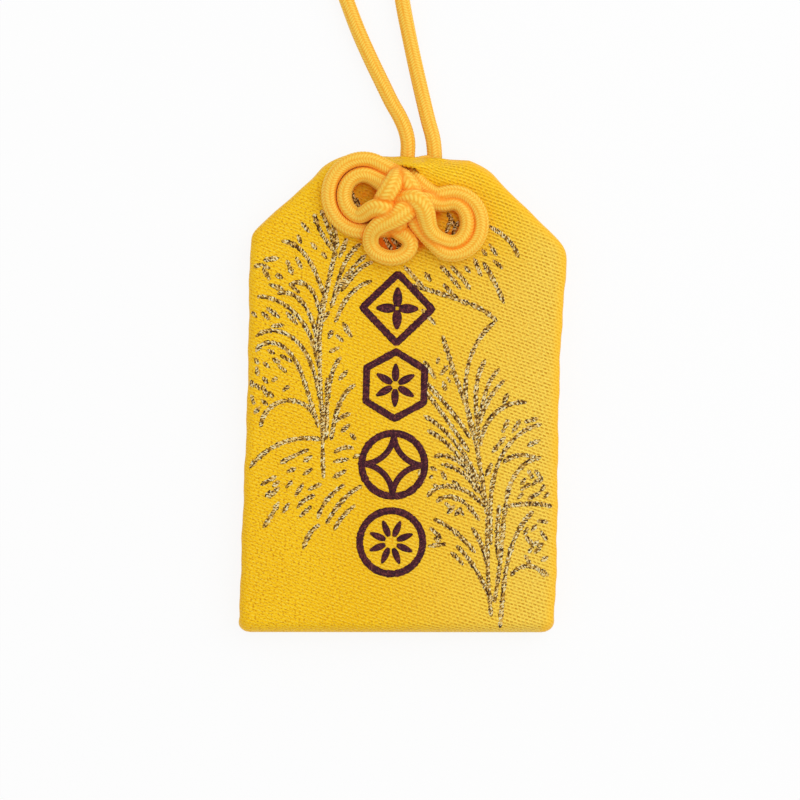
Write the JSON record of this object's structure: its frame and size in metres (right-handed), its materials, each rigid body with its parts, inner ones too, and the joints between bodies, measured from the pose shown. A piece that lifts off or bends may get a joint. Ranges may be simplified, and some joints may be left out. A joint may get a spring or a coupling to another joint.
{
  "type": "omamori charm",
  "caption": "Flat brocade charm pouch with cut-off shoulders, a decorative cord knot on its front and a hanging loop of the same cord.",
  "frame": {"origin": "middle of the pouch's flat back, on the surface that it lies on", "axes": "+X across the pouch to the right as seen from the front, +Y from its foot to its mouth and the hanging loop, +Z out of the front"},
  "size_m": [0.045, 0.1236, 0.0111],
  "materials": {
    "brocade": "satin brocade with woven gold and plum figures",
    "interlining": "matt bonded interlining",
    "seam_thread": "spun sewing thread",
    "card": "plain grey-brown board",
    "paper": "plain white paper",
    "slip_wood": "planed bare softwood",
    "cord": "round braided silky cord"
  },
  "bodies": {
    "pouch": {"front_cloth": "brocade", "back_cloth": "brocade", "front_lining": "interlining", "back_lining": "interlining", "left_shoulder_tuck": "brocade", "right_shoulder_tuck": "brocade", "left_seam_thread": "seam_thread", "right_seam_thread": "seam_thread", "stiffener_card": "card", "knot_cord": "cord"},
    "packet": {"paper_wrapper": "paper", "talisman_slip": "slip_wood"},
    "loop": {"hanging_loop": "cord"}
  },
  "joints": [
    {"name": "loop_swing", "type": "hinge", "parent": "pouch", "child": "loop", "pos_m": [0.00185, 0.0343, 0.00295], "axis": [1, 0, 0], "range_deg": [0, 115]},
    {"name": "packet_slide", "type": "slide", "parent": "pouch", "child": "packet", "axis": [0, 1, 0], "range_m": [0, 0.002]}
  ]
}
